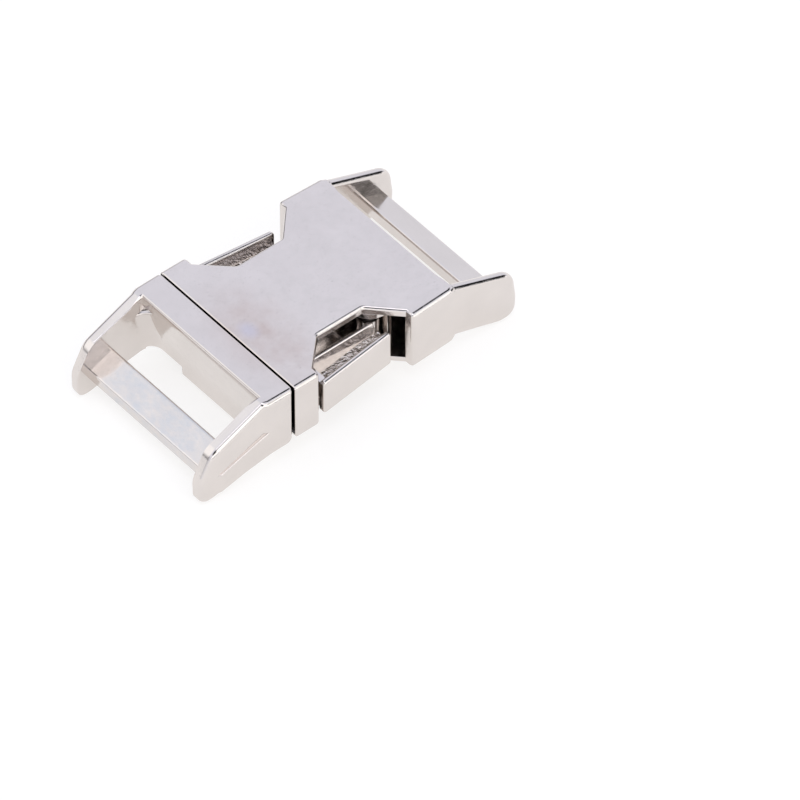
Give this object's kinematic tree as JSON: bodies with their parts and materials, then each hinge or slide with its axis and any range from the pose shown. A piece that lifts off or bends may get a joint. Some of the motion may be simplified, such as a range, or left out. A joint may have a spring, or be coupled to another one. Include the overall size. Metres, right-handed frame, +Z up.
{
  "type": "side release buckle",
  "caption": "Plated metal side release buckle, shown fastened: a flat receiver over a tongued plug, with sprung release arms at its sides and a drooping strap bar at each end.",
  "frame": {"origin": "middle of the footprint, on the surface that the buckle rests on", "axes": "+X runs from the plug's strap end to the receiver's strap end, +Y across the buckle, +Z up through the flat top plate"},
  "size_m": [0.0584, 0.03, 0.0129],
  "materials": {
    "plated_body": "bright nickel plate over a zinc die casting",
    "plated_arm": "bright nickel plate, rough as cast in the channels",
    "cover_plate": "smooth stamped plate",
    "steel_pin": "bright drawn wire"
  },
  "bodies": {
    "body": {"receiver_body": "plated_body", "plug_body": "plated_body", "cover_plate": "cover_plate", "rivet": "steel_pin", "pivot_pin_left": "steel_pin", "pivot_pin_right": "steel_pin"},
    "release_arm_left": {"release_arm_left": "plated_arm"},
    "release_arm_right": {"release_arm_right": "plated_arm"}
  },
  "joints": [
    {"name": "left_arm_press", "type": "hinge", "parent": "body", "child": "release_arm_left", "pos_m": [0.0066, 0.0082, 0.00705], "axis": [0, 0, 1], "range_deg": [0, 8.5], "stiffness_Nm_per_rad": 0.2, "springref_deg": -5.73},
    {"name": "right_arm_press", "type": "hinge", "parent": "body", "child": "release_arm_right", "pos_m": [0.0066, -0.0082, 0.00705], "axis": [0, 0, -1], "range_deg": [0, 8.5], "stiffness_Nm_per_rad": 0.2, "springref_deg": -5.73}
  ]
}
